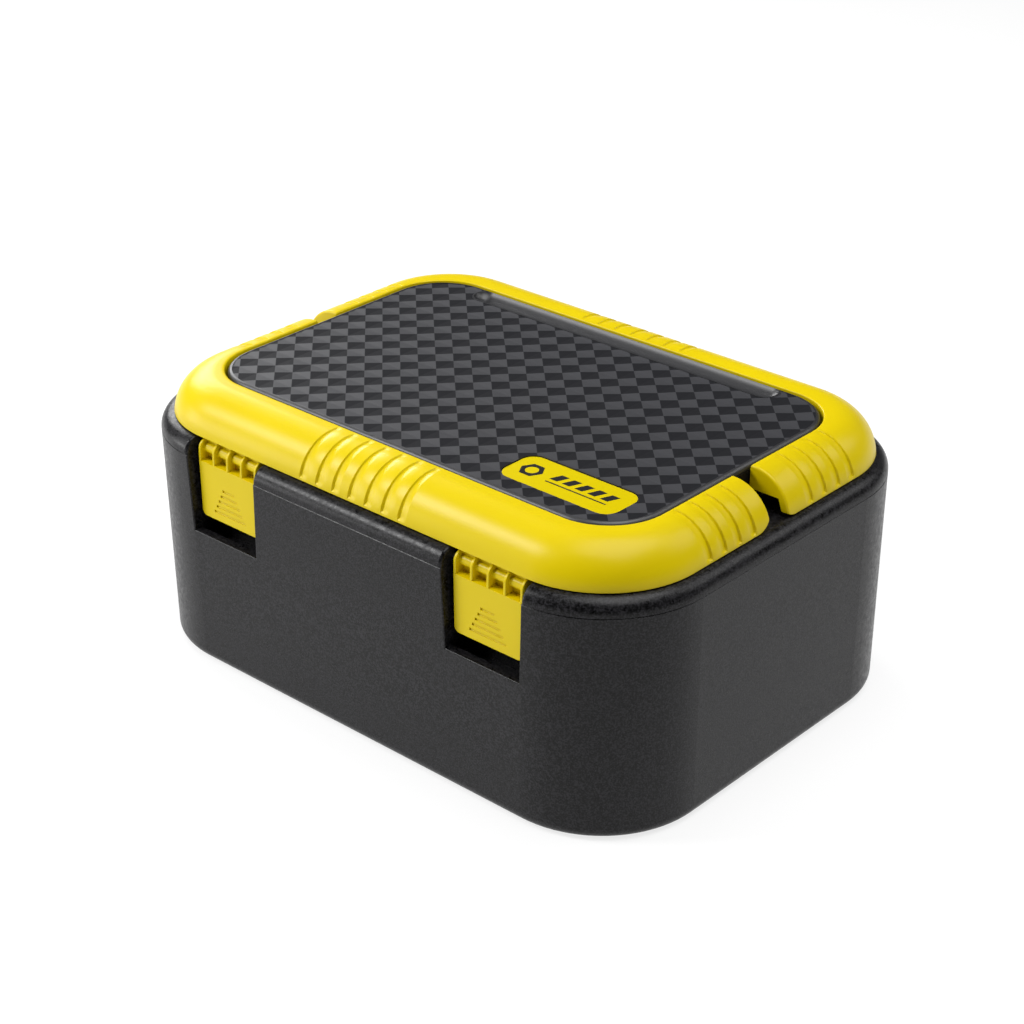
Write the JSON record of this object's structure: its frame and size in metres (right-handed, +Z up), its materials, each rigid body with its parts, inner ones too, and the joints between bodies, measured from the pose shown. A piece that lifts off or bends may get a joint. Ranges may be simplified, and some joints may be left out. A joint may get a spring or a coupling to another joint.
{
  "type": "toolbox with tray",
  "caption": "Rounded portable toolbox with a hinged lid, folding twin carrying handles, front latches, a textured top with a tool trough and a lift-out tray.",
  "frame": {"origin": "middle of the tub's flat base, on the surface that it stands on", "axes": "+Z up, +X to the right along the long side, -Y towards the latches"},
  "size_m": [0.4, 0.2998, 0.1746],
  "materials": {
    "black_shell": "fine spark grain, satin",
    "black_panel": "faceted relief, satin",
    "yellow_plastic": "smooth satin",
    "badge_yellow": "smooth gloss",
    "steel": "drawn",
    "tray_grey": "fine grain, matte",
    "divider_black": "fine grain, matte"
  },
  "bodies": {
    "tub": {"tub": "black_shell", "hinge_pin_left": "steel", "hinge_pin_right": "steel"},
    "lid": {"lid_shell": "black_shell", "lid_panel": "black_panel", "badge_plate": "badge_yellow", "handle_pin_front_left": "steel", "handle_pin_front_right": "steel", "handle_pin_rear_left": "steel", "handle_pin_rear_right": "steel", "latch_pin_left": "steel", "latch_pin_right": "steel"},
    "front_handle": {"front_handle": "yellow_plastic"},
    "rear_handle": {"rear_handle": "yellow_plastic"},
    "latch_left": {"latch_left": "yellow_plastic"},
    "latch_right": {"latch_right": "yellow_plastic"},
    "tray": {"tray": "tray_grey", "tray_divider_left": "divider_black", "tray_divider_right": "divider_black"},
    "tray_handle": {"tray_handle": "yellow_plastic"}
  },
  "joints": [
    {"name": "lid_hinge", "type": "hinge", "parent": "tub", "child": "lid", "pos_m": [0, 0.1503, 0.1405], "axis": [-1, 0, 0], "range_deg": [0, 105]},
    {"name": "front_handle_pivot", "type": "hinge", "parent": "lid", "child": "front_handle", "pos_m": [0, -0.018, 0.1655], "axis": [-1, 0, 0], "range_deg": [0, 94.5]},
    {"name": "rear_handle_pivot", "type": "hinge", "parent": "lid", "child": "rear_handle", "pos_m": [0, 0.018, 0.1655], "axis": [1, 0, 0], "range_deg": [0, 94.5]},
    {"name": "latch_left_pivot", "type": "hinge", "parent": "lid", "child": "latch_left", "pos_m": [-0.104, -0.1335, 0.144], "axis": [-1, 0, 0], "range_deg": [0, 95]},
    {"name": "latch_right_pivot", "type": "hinge", "parent": "lid", "child": "latch_right", "pos_m": [0.104, -0.1335, 0.144], "axis": [-1, 0, 0], "range_deg": [0, 95]},
    {"name": "tray_lift", "type": "slide", "parent": "tub", "child": "tray", "axis": [0, 0, 1], "range_m": [0, 0.0035]},
    {"name": "tray_handle_pivot", "type": "hinge", "parent": "tray", "child": "tray_handle", "pos_m": [0, 0, 0.1295], "axis": [1, 0, 0], "range_deg": [0, 90]}
  ]
}
